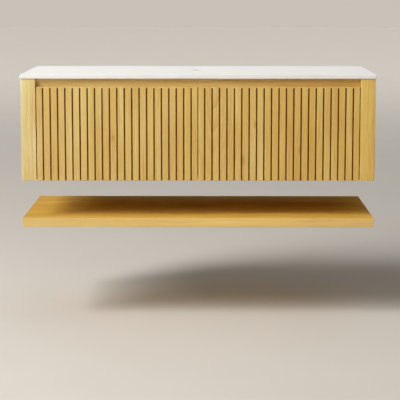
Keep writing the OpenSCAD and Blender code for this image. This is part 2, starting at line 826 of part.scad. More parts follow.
side_panel(-1);  // side_panel_left
side_panel(1);  // side_panel_right
bottom_panel();
centre_partition();
front_band();
front_stretcher();
rear_stretcher();
back_rail();
worktop();
front_buffers();
carcass_dowels();
hanging_rail();
hanger_housing(-1);  // hanger_housing_left
hanger_housing(1);  // hanger_housing_right
hanger_hook(-1);  // hanger_hook_left
hanger_hook(1);  // hanger_hook_right
hanger_adjusting_screws();
hanger_fixing_screws();
runner_cabinet_member(-1, true);  // runner_cabinet_member_left_outer
runner_cabinet_member(-1, false);  // runner_cabinet_member_left_inner
runner_cabinet_member(1, false);  // runner_cabinet_member_right_inner
runner_cabinet_member(1, true);  // runner_cabinet_member_right_outer
runner_screws();
shelf_board();
shelf_bar();
shelf_rods();
shelf_locking_screws();
runner_middle_member(-1, true);  // runner_middle_member_left_outer
runner_middle_member(-1, false);  // runner_middle_member_left_inner
runner_middle_member(1, false);  // runner_middle_member_right_inner
runner_middle_member(1, true);  // runner_middle_member_right_outer
drawer_front(-1);  // drawer_left_front
drawer_box_front(-1);  // drawer_left_box_front
drawer_side(-1, true);  // drawer_left_side_outer
drawer_side(-1, false);  // drawer_left_side_inner
drawer_back(-1);  // drawer_left_back
drawer_bottom(-1);  // drawer_left_bottom
drawer_dowels(-1);  // drawer_left_dowels
drawer_front_screws(-1);  // drawer_left_front_screws
drawer_locking_clips(-1);  // drawer_left_locking_clips
runner_drawer_member(-1, true);  // runner_drawer_member_left_outer
runner_drawer_member(-1, false);  // runner_drawer_member_left_inner
drawer_front(1);  // drawer_right_front
drawer_box_front(1);  // drawer_right_box_front
drawer_side(1, true);  // drawer_right_side_outer
drawer_side(1, false);  // drawer_right_side_inner
drawer_back(1);  // drawer_right_back
drawer_bottom(1);  // drawer_right_bottom
drawer_dowels(1);  // drawer_right_dowels
drawer_front_screws(1);  // drawer_right_front_screws
drawer_locking_clips(1);  // drawer_right_locking_clips
runner_drawer_member(1, false);  // runner_drawer_member_right_inner
runner_drawer_member(1, true);  // runner_drawer_member_right_outer
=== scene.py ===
# %% [markdown]
# Dressing a wall-hung oak vanity unit in Blender.
# The real object is a cabinet with two ribbed drawers under a thin white worktop, and an oak shelf
# that floats below it. The construction model already holds every board, runner and screw at its
# real size. This lesson leaves those where they are and gives them their finishes, and models a
# few pieces again where a finer shape is worth having.
# The whole scene is in metres and +Z is up. The unit hangs from the plane Y = 0, and the fronts
# face -Y.

# %% Load the construction model
import json
import math

import bpy
from mathutils import Matrix, Vector


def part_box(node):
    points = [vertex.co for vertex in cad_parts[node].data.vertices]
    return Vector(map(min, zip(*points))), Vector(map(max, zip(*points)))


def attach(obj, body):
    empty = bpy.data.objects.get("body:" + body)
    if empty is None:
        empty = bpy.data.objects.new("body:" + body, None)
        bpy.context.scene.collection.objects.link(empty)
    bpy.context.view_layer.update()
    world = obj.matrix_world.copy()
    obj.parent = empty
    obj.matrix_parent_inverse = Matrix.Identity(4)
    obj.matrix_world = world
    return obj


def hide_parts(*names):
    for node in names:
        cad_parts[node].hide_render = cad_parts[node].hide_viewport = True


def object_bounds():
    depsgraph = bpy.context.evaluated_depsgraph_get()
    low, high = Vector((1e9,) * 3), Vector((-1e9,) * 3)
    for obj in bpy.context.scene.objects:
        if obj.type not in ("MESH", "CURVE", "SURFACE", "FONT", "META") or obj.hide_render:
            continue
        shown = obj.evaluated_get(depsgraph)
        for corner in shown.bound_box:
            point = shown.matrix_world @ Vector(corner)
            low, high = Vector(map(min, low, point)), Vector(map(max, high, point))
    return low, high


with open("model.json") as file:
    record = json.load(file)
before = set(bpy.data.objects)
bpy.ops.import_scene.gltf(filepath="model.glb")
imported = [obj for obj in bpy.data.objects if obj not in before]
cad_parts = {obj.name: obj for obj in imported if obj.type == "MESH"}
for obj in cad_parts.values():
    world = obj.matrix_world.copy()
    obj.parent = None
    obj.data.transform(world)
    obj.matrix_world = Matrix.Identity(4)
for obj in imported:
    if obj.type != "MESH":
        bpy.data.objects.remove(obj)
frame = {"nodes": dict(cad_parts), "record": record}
cad_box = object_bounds()
nodes = frame["nodes"]
print("lowest corner", tuple(round(v, 4) for v in cad_box[0]))
print("highest corner", tuple(round(v, 4) for v in cad_box[1]))

# %% [markdown]
# Small helpers come first, because every finish needs them.
# Colours are picked as hex values, as on a screen, but Blender calculates with linear light. One
# function turns the first into the second. Lengths are easier to read in millimetres.

# %% Colour and length helpers
MM = 0.001


def linear(hex_colour):
    """Turns an sRGB hex colour such as "D8B878" into the linear RGBA that shaders use."""
    def channel(start):
        value = int(hex_colour[start:start + 2], 16) / 255
        return value / 12.92 if value <= 0.04045 else ((value + 0.055) / 1.055) ** 2.4
    return (channel(0), channel(2), channel(4), 1.0)


print("oak in linear light:", [round(v, 3) for v in linear("D8B878")])

# %% [markdown]
# A shader is a tree of nodes. One function adds any node: its settings are named in the call, and
# its sockets are filled from a dictionary, with a plain value or with the node that feeds them.

# %% One function for every shader node
def add_node(tree, kind, inputs=None, **settings):
    """Adds a node with its settings, and fills its inputs by name or number with values or links."""
    node = tree.nodes.new(kind)
    for name, value in settings.items():
        setattr(node, name, value)
    for key, value in (inputs or {}).items():
        named = [s for s in node.inputs if s.name == key and s.enabled]
        socket = named[0] if named else node.inputs[key]
        if isinstance(value, bpy.types.Node):
            value = next(s for s in value.outputs if s.enabled)
        if isinstance(value, bpy.types.NodeSocket):
            tree.links.new(value, socket)
        else:
            socket.default_value = value
    return node


def new_material(name):
    """An empty material and its node tree."""
    material = bpy.data.materials.new(name)
    material.use_nodes = True
    material.node_tree.nodes.clear()
    return material, material.node_tree


print("helpers for every finish:", add_node.__name__, "and", new_material.__name__)

# %% [markdown]
# The camera stands a little above the worktop and looks slightly down. The lens is long, about
# 116 mm, so the cabinet shows almost no perspective. A view camera would keep all uprights
# parallel by shifting the lens far down. A small shift with a small tilt comes close to that and
# still suits the other views, where the shift stays the same.

# %% The camera
LENS_MM = 115.7
SENSOR_MM = 36.0
LENS_SHIFT = -0.16
CAMERA_PLACE = (0.0355, -4.790, 0.398)
TILT_DOWN = 6.75
TURN_LEFT = 0.38

camera_data = bpy.data.cameras.new("camera")
camera_data.sensor_width = SENSOR_MM
camera_data.lens = LENS_MM
camera_data.shift_y = LENS_SHIFT
camera = bpy.data.objects.new("camera", camera_data)
camera.location = CAMERA_PLACE
camera.rotation_euler = (math.radians(90 - TILT_DOWN), 0, math.radians(TURN_LEFT))
bpy.context.scene.collection.objects.link(camera)
bpy.context.scene.camera = camera
print("camera is", round(-CAMERA_PLACE[1] + cad_box[0].y, 2), "m in front of the drawers")

# %% [markdown]
# Nothing stands behind the unit in this scene, so that its back shows in the other views. A pale
# floor about a third of a metre under the shelf is enough to ground it. The floor reaches far
# back, so that it is also the backdrop.

# %% The floor
FLOOR_BELOW_SHELF = 0.333
FLOOR_SIZE = 60.0
FLOOR_PATCH = 0.4

bpy.ops.object.select_all(action="DESELECT")
floor_height = cad_box[0].z - FLOOR_BELOW_SHELF
bpy.ops.mesh.primitive_plane_add(size=FLOOR_SIZE, location=(0, 0, floor_height))
floor = bpy.context.object
floor.name = "floor"

# Matt painted screed: no gloss, and a very faint unevenness of tone from patch to patch.
floor_material, tree = new_material("matt_painted_screed")
place = add_node(tree, "ShaderNodeTexCoord").outputs["Object"]
unevenness = add_node(tree, "ShaderNodeTexNoise",
                      {"Vector": place, "Scale": 1 / FLOOR_PATCH, "Detail": 3.0})
floor_tone = add_node(tree, "ShaderNodeMix", {"Factor": unevenness.outputs["Fac"],
                                              "A": linear("CAC4BB"), "B": linear("CFCAC2")},
                      data_type="RGBA")
screed = add_node(tree, "ShaderNodeBsdfPrincipled", {"Base Color": floor_tone, "Roughness": 0.9})
add_node(tree, "ShaderNodeOutputMaterial", {"Surface": screed})
floor.data.materials.append(floor_material)
print("floor at z =", round(floor_height, 3))

# %% [markdown]
# Light in the picture comes from one large, soft source at the upper left, in front of the unit.
# Its size shows in the cabinet's shadow on the shelf, whose edge is soft. So the lamp is a tall
# rectangle 8 m away. The room's own light is weaker and comes from three sides: from the front,
# from above, and a little from the right. The world has a broad glow in each of these directions
# and none elsewhere, which leaves the space under the cabinet dark. Only the camera sees the
# plain backdrop colour.

# %% The lamp and the room's light
LIGHT_TRAVEL = Vector((0.66, 0.46, -0.60)).normalized()
LAMP_DISTANCE = 8.0
LAMP_WIDE = 2.4
LAMP_HIGH = 4.6
LAMP_WATTS = 855.0
# Each glow of the room: the direction it comes from, the cosine at which it fades out, strength.
GLOWS = (((-0.20, -0.97, 0.08), 0.29, 0.32),
         ((0.10, 0.12, 1.00), 0.68, 0.52),
         ((0.90, -0.10, 0.42), 0.55, 0.15))
# The cosine at which every glow reaches its full strength.
GLOW_FULL = 0.95

aim = (cad_box[0] + cad_box[1]) / 2
lamp_data = bpy.data.lights.new("window", "AREA")
lamp_data.shape = "RECTANGLE"
lamp_data.size = LAMP_WIDE
lamp_data.size_y = LAMP_HIGH
lamp_data.energy = LAMP_WATTS
lamp = bpy.data.objects.new("window", lamp_data)
lamp.location = aim - LIGHT_TRAVEL * LAMP_DISTANCE
lamp.rotation_euler = LIGHT_TRAVEL.to_track_quat("-Z", "Y").to_euler()
bpy.context.scene.collection.objects.link(lamp)

room = bpy.data.worlds.new("room")
room.use_nodes = True
tree = room.node_tree
tree.nodes.clear()
direction = add_node(tree, "ShaderNodeTexCoord").outputs["Generated"]
strength = 0.0
for toward, edge, bright in GLOWS:
    nearness = add_node(tree, "ShaderNodeVectorMath",
                        {0: direction, 1: Vector(toward).normalized()}, operation="DOT_PRODUCT")
    glow = add_node(tree, "ShaderNodeMapRange",
                    {"Value": nearness, "From Min": edge, "From Max": GLOW_FULL,
                     "To Min": 0.0, "To Max": bright}, interpolation_type="SMOOTHSTEP")
    strength = add_node(tree, "ShaderNodeMath", {0: strength, 1: glow}, operation="ADD")
fill = add_node(tree, "ShaderNodeBackground", {"Color": linear("FFFBF5"), "Strength": strength})
backdrop = add_node(tree, "ShaderNodeBackground", {"Color": linear("C8C2B8"), "Strength": 1.0})
seen = add_node(tree, "ShaderNodeLightPath").outputs["Is Camera Ray"]
sky = add_node(tree, "ShaderNodeMixShader", {0: seen, 1: fill, 2: backdrop})
add_node(tree, "ShaderNodeOutputWorld", {"Surface": sky})
bpy.context.scene.world = room
bpy.context.scene.view_settings.view_transform = "Standard"
print("lamp at", tuple(round(v, 2) for v in lamp.location))

# %% [markdown]
# Far from the unit the lamp has faded, and the floor would turn dark against the pale sky. A
# studio solves this with lamps that light the backdrop only. These are wide ceiling panels over
# the far floor, one on each side. They shine downward, so hardly any of it reaches the unit.

# %% The lamps over the far floor
PANEL_SIZE = 40.0
PANEL_HEIGHT = 7.0
PANEL_PLACES = ((0.0, 26.0), (34.0, 0.0), (-34.0, 0.0), (0.0, -34.0))
PANEL_WATTS = 3700.0
PANEL_SPREAD = 100.0

panel_data = bpy.data.lights.new("backdrop_panel", "AREA")
panel_data.size = PANEL_SIZE
panel_data.energy = PANEL_WATTS
panel_data.spread = math.radians(PANEL_SPREAD)
for x, y in PANEL_PLACES:
    panel = bpy.data.objects.new("backdrop_panel", panel_data)
    panel.location = (x, y, PANEL_HEIGHT)
    bpy.context.scene.collection.objects.link(panel)
print("the nearest panel starts", PANEL_PLACES[0][1] - PANEL_SIZE / 2, "m behind the unit")

# %% [markdown]
# The worktop is seen at a grazing angle, so it mirrors what stands behind it. In a lit room that
# is something pale, which makes the worktop look whiter than its front edge. Here nothing is
# there, so a low white card behind the worktop takes that part, as it would in a studio. It faces
# the front, and its beam is narrow, so that the shelf below stays in shade. The camera doesn't
# see it.

# %% The card behind the worktop
CARD_WIDE = 1.8
CARD_HIGH = 0.35
CARD_BEHIND_UNIT = 0.30
CARD_ABOVE_WORKTOP = 0.01
CARD_WATTS = 0.8
CARD_SPREAD = 90.0

card_data = bpy.data.lights.new("white_card", "AREA")
card_data.shape = "RECTANGLE"
card_data.size = CARD_WIDE
card_data.size_y = CARD_HIGH
card_data.energy = CARD_WATTS
card_data.spread = math.radians(CARD_SPREAD)
card = bpy.data.objects.new("white_card", card_data)
card_middle = cad_box[1].z + CARD_ABOVE_WORKTOP + CARD_HIGH / 2
card.location = (0.0, CARD_BEHIND_UNIT, card_middle)
card.rotation_euler = (math.radians(-90), 0.0, 0.0)
card.visible_camera = False
bpy.context.scene.collection.objects.link(card)
print("the card's middle is", round(card_middle - cad_box[1].z, 3), "m above the worktop")

# %% [markdown]
# Oak is the finish that carries this piece. The boards are faced with oak veneer, sanded and
# lacquered satin. Four things make oak look like oak: slow bands of tone, the growth rings, which
# cut into arches where the slice passes near the heart, fine fibres, and short dark pores.
# An image could be wrapped round each board, but a solid pattern in Object coordinates is cut by
# every face and groove as real wood is, so the grain runs on across the grooves.
# The rings are a wave round the log's middle line. Every other pattern is noise, stretched along
# the grain by scaling its coordinates with real sizes in mm. A log is never straight, so rings,
# bands, fibres and pores all drift together by a few mm.

# %% How oak grows
# The size of each figure in mm, across the grain and along it.
DRIFT_MM = (90, 330)
BAND_MM = (26, 520)
STREAK_MM = (5, 260)
RING_PATCH_MM = (60, 240)
FIBRE_MM = (1.6, 70)
# Real pores are 0.3 mm wide. They are drawn at twice that, or they would vanish.
PORE_MM = (0.6, 11)
# How far the grain drifts, the distance of two rings, and the lean of the log's middle line.
DRIFT_REACH = 16 * MM
RING_MM = 6.5
HEART_LEAN = (math.radians(5.0), math.radians(2.0), 0)
# At scale 1 the wave texture repeats after this length.
WAVE_UNIT = 2 * math.pi / 20


def figure(tree, size_mm, detail, place):
    """Noise of a size across and along the grain, which runs along Z."""
    across, along = 1 / (size_mm[0] * MM), 1 / (size_mm[1] * MM)
    stretched = add_node(tree, "ShaderNodeMapping",
                         {"Vector": place, "Scale": (across, across, along)})
    return add_node(tree, "ShaderNodeTexNoise",
                    {"Vector": stretched, "Scale": 1.0, "Detail": detail})


def drifted(tree, place):
    """Coordinates that wander as the grain of a log does."""
    drift = figure(tree, DRIFT_MM, 2.0, place)
    centred = add_node(tree, "ShaderNodeVectorMath",
                       {0: drift.outputs["Color"], 1: (0.5, 0.5, 0.5)}, operation="SUBTRACT")
    shift = add_node(tree, "ShaderNodeVectorMath", {0: centred, "Scale": DRIFT_REACH},
                     operation="SCALE")
    return add_node(tree, "ShaderNodeVectorMath", {0: place, 1: shift}, operation="ADD")


def growth_rings(tree, grown, heart):
    """Rings round the log's middle line, which leans a little, so that a board cuts arches."""
    heart_place = add_node(tree, "ShaderNodeMapping",
                           {"Vector": grown, "Location": heart, "Rotation": HEART_LEAN},
                           vector_type="TEXTURE")
    return add_node(tree, "ShaderNodeTexWave",
                    {"Vector": heart_place, "Scale": WAVE_UNIT / (RING_MM * MM),
                     "Distortion": 2.6, "Detail": 3.0, "Detail Scale": 0.35},
                    wave_type="RINGS", rings_direction="Z", wave_profile="SAW").outputs["Fac"]


print("growth rings are", RING_MM, "mm apart and fibres", FIBRE_MM[0], "mm wide")

# %% [markdown]
# The patterns depend on one another, as they do in the tree. The late wood is the dark part of
# each ring, and the pores crowd in the spring wood, where a ring starts. So one function makes
# them all from one log and hands them back by name.

# %% Everything that grew in one log
def wood_patterns(tree, place, heart):
    """The patterns of the log whose middle line goes through heart, each under its name."""
    grown = drifted(tree, place)
    rings = growth_rings(tree, grown, heart)
    # Bands about 25 mm wide make one slat a little lighter or redder than the next, and streaks
    # of a few mm run up and down for a hand or more.
    bands = figure(tree, BAND_MM, 3.0, grown).outputs["Fac"]
    streaks = figure(tree, STREAK_MM, 2.0, grown).outputs["Fac"]
    fibres = figure(tree, FIBRE_MM, 3.0, grown).outputs["Fac"]
    # The rings are strong in some places and nearly gone in others.
    ring_patches = figure(tree, RING_PATCH_MM, 1.0, place).outputs["Fac"]
    ring_strength = add_node(tree, "ShaderNodeMapRange",
                             {"Value": ring_patches, "From Min": 0.38, "From Max": 0.62,
                              "To Min": 0.12, "To Max": 0.50})
    late_wood = add_node(tree, "ShaderNodeMath", {0: rings, 1: ring_strength},
                         operation="MULTIPLY")
    # The pore noise has to be stronger to show a pore in late wood than in spring wood.
    threshold = add_node(tree, "ShaderNodeMapRange",
                         {"Value": rings, "From Max": 0.7, "To Min": 0.55, "To Max": 0.63})
    pore_noise = figure(tree, PORE_MM, 1.0, grown).outputs["Fac"]
    pores = add_node(tree, "ShaderNodeMapRange",
                     {"Value": pore_noise, "From Min": threshold, "From Max": 0.80})
    return {"grown": grown, "bands": bands, "streaks": streaks, "fibres": fibres,
            "late wood": late_wood, "pores": pores}


print("helper for the wood:", wood_patterns.__name__)

# %% [markdown]
# Two marks belong to the drawer fronts alone. Where a small branch grew there is a dark knot. And
# the milled grooves get painted shade, darker the deeper it lies, which stands for the shade down in
# them. Both are worked out from places in Object coordinates, so they sit on the board where they
# should.

# %% Knots and painted shade in the grooves
# Each knot of the drawer fronts: its X and Z in metres and its radius in mm.
KNOTS = ((0.151, -0.197, 11), (0.194, -0.078, 8), (0.346, -0.165, 8), (-0.287, -0.120, 7))
# A knot is longer along the grain than across it, and darker in its middle. It runs through the
# board, so its depth doesn't count.
KNOT_SQUEEZE = 0.42
KNOT_STRENGTH = 0.42
KNOT_MIDDLE = 0.25
# Painted shade in a groove starts and is full at these depths. The groove ends before the third.
GROOVE_SHADE_STARTS = 0.9 * MM
GROOVE_SHADE_FULL = 5 * MM
GROOVE_DEEP = 7.3 * MM
GROOVE_SHADE_STRENGTH = 0.95
EDGE_MARGIN = 0.3 * MM


def knot_layers(tree, grown, knots):
    """A layer of colour for each knot, by the distance from its middle."""
    layers = []
    for knot_x, knot_z, radius_mm in knots:
        flat = add_node(tree, "ShaderNodeVectorMath", {0: grown, 1: (1.0, 0.0, KNOT_SQUEEZE)},
                        operation="MULTIPLY")
        away = add_node(tree, "ShaderNodeVectorMath",
                        {0: flat, 1: (knot_x, 0.0, KNOT_SQUEEZE * knot_z)},
                        operation="DISTANCE").outputs["Value"]
        layers.append((away, radius_mm * MM, KNOT_MIDDLE * radius_mm * MM, KNOT_STRENGTH,
                       "9C6222"))
    return layers


def painted_groove_shade(tree, along, board):
    """How strong the painted shade in the grooves is, darker deeper down. A board's edges and back
    are left without it.
    """
    low, high = board
    painted_shade = add_node(tree, "ShaderNodeMapRange",
                     {"Value": along.outputs["Y"], "From Min": low.y + GROOVE_SHADE_STARTS,
                      "From Max": low.y + GROOVE_SHADE_FULL, "To Max": GROOVE_SHADE_STRENGTH})
    # The left front mirrors the right one, so the distance from the middle serves both.
    across = add_node(tree, "ShaderNodeMath", {0: along.outputs["X"]}, operation="ABSOLUTE")
    for value, side, limit in ((along.outputs["Y"], "LESS_THAN", low.y + GROOVE_DEEP),
                               (across, "GREATER_THAN", low.x + EDGE_MARGIN),
                               (across, "LESS_THAN", high.x - EDGE_MARGIN),
                               (along.outputs["Z"], "GREATER_THAN", low.z + EDGE_MARGIN),
                               (along.outputs["Z"], "LESS_THAN", high.z - EDGE_MARGIN)):
        within = add_node(tree, "ShaderNodeMath", {0: value, 1: limit}, operation=side)
        painted_shade = add_node(tree, "ShaderNodeMath", {0: painted_shade, 1: within}, operation="MULTIPLY")
    return painted_shade


# The painted shade in the grooves is full at this depth.
print("knots in the fronts:", len(KNOTS), "with grooves stained full at", GROOVE_SHADE_FULL / MM, "mm")

# %% [markdown]
# The finish is laid on as a varnisher would glaze it: a ground colour first, with painted light from
# one end of the unit to the other, and then one thin layer of colour for each pattern, strong where
# the pattern is strong. The lacquer is satin. It fills the fibres and pores only in part, so they
# still show as a very fine relief.

# %% Lacquered oak veneer
UPRIGHT = (0.0, 0.0, 0.0)
LEVEL = (0.0, math.radians(-90), 0.0)
# Painted light: the colour changes from one end of the unit to the other, at X = -0.62 and 0.62, for
# the lamp's sheen and the uneven light across the unit.
UNIT_END = 0.62
# How deep and how strong the paler, lit tone of the shelf's front face is: painted light.
PAINTED_LIGHT_FRONT_DEPTH = 0.8 * MM
PAINTED_LIGHT_FRONT_STRENGTH = 0.28
PORE_DEEP = 0.08 * MM


def oak(name, grain, heart, end_colours_with_painted_light, milled=None, knots=(), painted_light_front_limit=None):
    """Oak veneer with satin lacquer. heart is a point on the log's middle line. The two end colours
    are the veneer's colour at the unit's left and right end with painted light in them: the paler or
    brighter end stands for the lamp's sheen and the uneven light across the unit."""
    material, tree = new_material(name)
    raw = add_node(tree, "ShaderNodeTexCoord").outputs["Object"]
    place = add_node(tree, "ShaderNodeMapping", {"Vector": raw, "Rotation": grain})
    along = add_node(tree, "ShaderNodeSeparateXYZ", {"Vector": raw})
    wood = wood_patterns(tree, place, heart)
    fibre_tone = add_node(tree, "ShaderNodeMapRange",
                          {"Value": wood["fibres"], "From Min": 0.3, "From Max": 0.7,
                           "To Min": 0.28, "To Max": 0.0})

    # Each layer of colour: its pattern, the pattern's values where the layer is gone and where it
    # is full, the layer's full strength and its colour.
    layers = [(wood["bands"], 0.38, 0.66, 0.42, "C99B48"),
              (wood["bands"], 0.42, 0.30, 0.35, "EAD99A"),
              (wood["streaks"], 0.54, 0.74, 0.55, "BE8330"),
              (wood["late wood"], 0.0, 1.0, 1.0, "B5812F")]
    layers += knot_layers(tree, wood["grown"], knots)
    layers += [(fibre_tone, 0.0, 1.0, 1.0, "B98B4A"),
               (wood["pores"], 0.0, 1.0, 0.45, "8A5C28")]
    if painted_light_front_limit is not None:
        # The front face is paler than the top. This is painted light: the top's deeper, warmer tone
        # stands for the shade and the oak-coloured light bounced onto it under the cabinet, and the
        # front face keeps the plain veneer's tone.
        painted_light_front = add_node(tree, "ShaderNodeMath", {0: along.outputs["Y"], 1: painted_light_front_limit},
                         operation="LESS_THAN")
        layers.append((painted_light_front, 0.0, 1.0, PAINTED_LIGHT_FRONT_STRENGTH, "DFD2A0"))
    if milled is not None:
        # Painted shade in the grooves: their floors and walls darken with depth.
        layers.append((painted_groove_shade(tree, along, milled), 0.0, 1.0, 1.0, "984B05"))

    # Painted light: the ground colour shifts from the left end to the right, for the lamp's sheen
    # and falloff.
    painted_light_blend = add_node(tree, "ShaderNodeMapRange",
                        {"Value": along.outputs["X"], "From Min": -UNIT_END,
                         "From Max": UNIT_END, "To Min": 1.0, "To Max": 0.0})
    colour = add_node(tree, "ShaderNodeMix", {"Factor": painted_light_blend, "A": linear(end_colours_with_painted_light[1]),
                                              "B": linear(end_colours_with_painted_light[0])}, data_type="RGBA")
    for pattern, gone, full, most, hex_colour in layers:
        strength = add_node(tree, "ShaderNodeMapRange",
                            {"Value": pattern, "From Min": gone, "From Max": full,
                             "To Max": most})
        colour = add_node(tree, "ShaderNodeMix", {"Factor": strength, "A": colour,
                                                  "B": linear(hex_colour)}, data_type="RGBA")

    gloss = add_node(tree, "ShaderNodeMapRange",
                     {"Value": wood["fibres"], "To Min": 0.46, "To Max": 0.60})
    relief = add_node(tree, "ShaderNodeMath", {0: fibre_tone, 1: wood["pores"]}, operation="ADD")
    bump = add_node(tree, "ShaderNodeBump", {"Height": relief, "Strength": 0.5,
                                             "Distance": PORE_DEEP}, invert=True)
    lacquered = add_node(tree, "ShaderNodeBsdfPrincipled",
                         {"Base Color": colour, "Roughness": gloss, "Normal": bump,
                          "Specular IOR Level": 0.3})
    add_node(tree, "ShaderNodeOutputMaterial", {"Surface": lacquered})
    return material


shelf_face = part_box("shelf_board")[0].y
# In each pair of end colours, the paler or brighter end holds painted light: the lamp's sheen and
# the uneven light across the unit.
oak_upright = oak("oak_veneer_upright", UPRIGHT, heart=(0.165, -0.40, 0.0),
                  end_colours_with_painted_light=("E2D99D", "E3C56B"))
oak_ribbed = oak("oak_veneer_ribbed", UPRIGHT, heart=(0.06, -0.405, 0.0),
                 end_colours_with_painted_light=("D8C47C", "D8B65E"),
                 milled=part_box("drawer_right_front"), knots=KNOTS)
oak_level = oak("oak_veneer_level", LEVEL, heart=(-0.30, -0.20, 0.0),
                end_colours_with_painted_light=("E8D58E", "D9AF5C"))
# The shelf's deep, warm colours are painted shade: they stand for the oak-coloured light that its
# top gets under the cabinet.
oak_shelf = oak("oak_veneer_shelf", LEVEL, heart=(-0.30, -0.20, 0.0),
                end_colours_with_painted_light=("D5AF4A", "F3C24A"), painted_light_front_limit=shelf_face + PAINTED_LIGHT_FRONT_DEPTH)
print("oak materials:", oak_upright.name, oak_ribbed.name, oak_level.name, oak_shelf.name)

# %% [markdown]
# Birch plywood is a stack of thin veneers whose grain crosses from ply to ply. On a face only the
# outer ply shows. On an edge they all do, as fine light and dark lines. A solid pattern that
# changes only through the thickness gives both at once, if it starts at the board's own face.

# %% Birch plywood
# A real ply is this thick. A light or dark line is drawn two plies wide, or it would vanish.
PLY_MM = 1.45
LINE_PLIES = 2.0
FEWEST_PLIES = 5
# The face veneer's streaks, across the board and along it.
PLY_FIGURE_MM = (3, 60)
CROSS_STRENGTH = 0.6


def birch_plywood(name, node):
    """Sanded and lacquered plywood for one board: its plies are stacked along the thinnest side."""
    material, tree = new_material(name)
    low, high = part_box(node)
    size = high - low
    thin = min(range(3), key=lambda i: size[i])
    # The count is odd, as in real plywood. The near face is light. The far face falls between a
    # light and a dark line and takes a tone between them.
    plies = max(FEWEST_PLIES, 2 * round(size[thin] / (PLY_MM * MM) / 2) + 1)
    raw = add_node(tree, "ShaderNodeTexCoord").outputs["Object"]
    through = add_node(tree, "ShaderNodeSeparateXYZ", {"Vector": raw}).outputs["XYZ"[thin]]
    count = add_node(tree, "ShaderNodeMapRange",
                     {"Value": through, "From Min": low[thin], "From Max": high[thin],
                      "To Min": 0.0, "To Max": float(plies)})
    layer = add_node(tree, "ShaderNodeMath", {0: count, 1: LINE_PLIES}, operation="PINGPONG")
    crossed = add_node(tree, "ShaderNodeMapRange",
                       {"Value": layer, "From Min": 0.9, "From Max": 1.1})
    # The face veneer's streaks run along the board's longest side.
    squeezed = [1 / (PLY_FIGURE_MM[0] * MM)] * 3
    longest = max(range(3), key=lambda i: size[i])
    squeezed[longest] = 1 / (PLY_FIGURE_MM[1] * MM)
    grain = add_node(tree, "ShaderNodeMapping", {"Vector": raw, "Scale": squeezed})
    streaks = add_node(tree, "ShaderNodeTexNoise", {"Vector": grain, "Scale": 1.0, "Detail": 4.0})
    streak_tone = add_node(tree, "ShaderNodeMapRange",
                           {"Value": streaks.outputs["Fac"], "From Min": 0.3, "From Max": 0.7})
    face = add_node(tree, "ShaderNodeMix", {"Factor": streak_tone, "A": linear("DDBF92"),
                                            "B": linear("E8D2AC")}, data_type="RGBA")
    cross_tone = add_node(tree, "ShaderNodeMath", {0: crossed, 1: CROSS_STRENGTH},
                          operation="MULTIPLY")
    colour = add_node(tree, "ShaderNodeMix", {"Factor": cross_tone, "A": face,
                                              "B": linear("B08650")}, data_type="RGBA")
    lacquered = add_node(tree, "ShaderNodeBsdfPrincipled",
                         {"Base Color": colour, "Roughness": 0.42})
    add_node(tree, "ShaderNodeOutputMaterial", {"Surface": lacquered})
    return material


print("each ply is about", PLY_MM, "mm thick")

# %% [markdown]
# The worktop is solid surface: mineral powder in resin, white all through and honed to a soft
# sheen. Plain white would look like paper. The mineral gives it a very fine fleck, and the honing
# leaves patches that are a little more or less matt, so two faint noises are enough.

# %% White solid surface
FLECK_MM = 1.5
CLOUDS_PER_METRE = 9.0


def solid_surface():
    """Mineral-filled resin, honed: white through and through, with a fine, faint fleck."""
    material, tree = new_material("white_solid_surface_honed")
    place = add_node(tree, "ShaderNodeTexCoord").outputs["Object"]
    fleck = add_node(tree, "ShaderNodeTexNoise",
                     {"Vector": place, "Scale": 1 / (FLECK_MM * MM), "Detail": 2.0})
    cloud = add_node(tree, "ShaderNodeTexNoise",
                     {"Vector": place, "Scale": CLOUDS_PER_METRE, "Detail": 3.0})
    mixed = add_node(tree, "ShaderNodeMath", {0: fleck.outputs["Fac"], 1: cloud.outputs["Fac"]},
                     operation="MULTIPLY")
    tone = add_node(tree, "ShaderNodeMapRange",
                    {"Value": mixed, "From Min": 0.12, "From Max": 0.36})
    colour = add_node(tree, "ShaderNodeMix", {"Factor": tone, "A": linear("DFDDD9"),
                                              "B": linear("E4E2DE")}, data_type="RGBA")
    gloss = add_node(tree, "ShaderNodeMapRange",
                     {"Value": cloud.outputs["Fac"], "To Min": 0.48, "To Max": 0.56})
    honed = add_node(tree, "ShaderNodeBsdfPrincipled",
                     {"Base Color": colour, "Roughness": gloss, "Specular IOR Level": 0.3})
    add_node(tree, "ShaderNodeOutputMaterial", {"Surface": honed})
    return material


white_top = solid_surface()
print("worktop finish:", white_top.name)

# %% [markdown]
# Runners, screws, rails and rods are zinc-plated steel, and the hanger housings are die-cast
# zinc. Both are bare metal, so they take their look from what they mirror. They differ in how
# smooth they are and in the size of their patches, so one function makes both.

